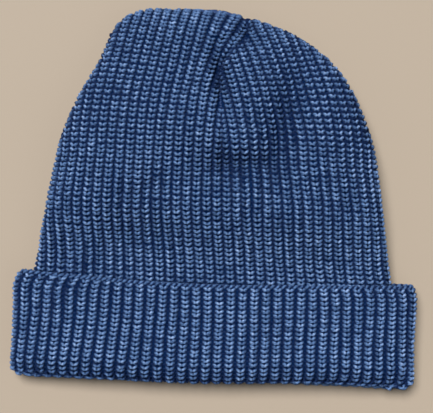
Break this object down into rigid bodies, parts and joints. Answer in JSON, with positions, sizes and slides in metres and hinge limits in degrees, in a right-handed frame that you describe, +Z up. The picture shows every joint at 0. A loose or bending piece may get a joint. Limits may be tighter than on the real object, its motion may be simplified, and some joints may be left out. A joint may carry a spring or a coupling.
{
  "type": "knit beanie",
  "caption": "Ribbed knit beanie with a turned-up cuff and a darted, gathered crown, lying flat with its hollow open at the cuff.",
  "frame": {"origin": "bottom centre of the hat's box, on the table it lies on", "axes": "+X across the hat along the cuff, +Y from the cuff's fold to the crown, +Z up from the table"},
  "size_m": [0.238, 0.2184, 0.037],
  "materials": {
    "rib_knit": "ribbed wool-blend knit, navy heather",
    "seam_yarn": "same yarn, drawn tight in a seam",
    "edge_yarn": "same yarn, cast-on edge and gathered stitches"
  },
  "bodies": {
    "body": {"body_tube": "rib_knit", "centre_seam": "seam_yarn", "crown_front_left": "rib_knit", "crown_front_right": "rib_knit", "crown_back_left": "rib_knit", "crown_back_right": "rib_knit", "dart_seam_front": "seam_yarn", "dart_seam_back": "seam_yarn", "dart_seam_left": "seam_yarn", "dart_seam_right": "seam_yarn", "crown_gather": "edge_yarn"},
    "cuff": {"cuff_turn_up": "rib_knit", "cuff_seam": "seam_yarn", "cast_on_edge": "edge_yarn", "cuff_fold": "rib_knit"}
  },
  "joints": [
    {"name": "cuff_slide", "type": "slide", "parent": "body", "child": "cuff", "axis": [0, -1, 0], "range_m": [0, 0.0465]}
  ]
}
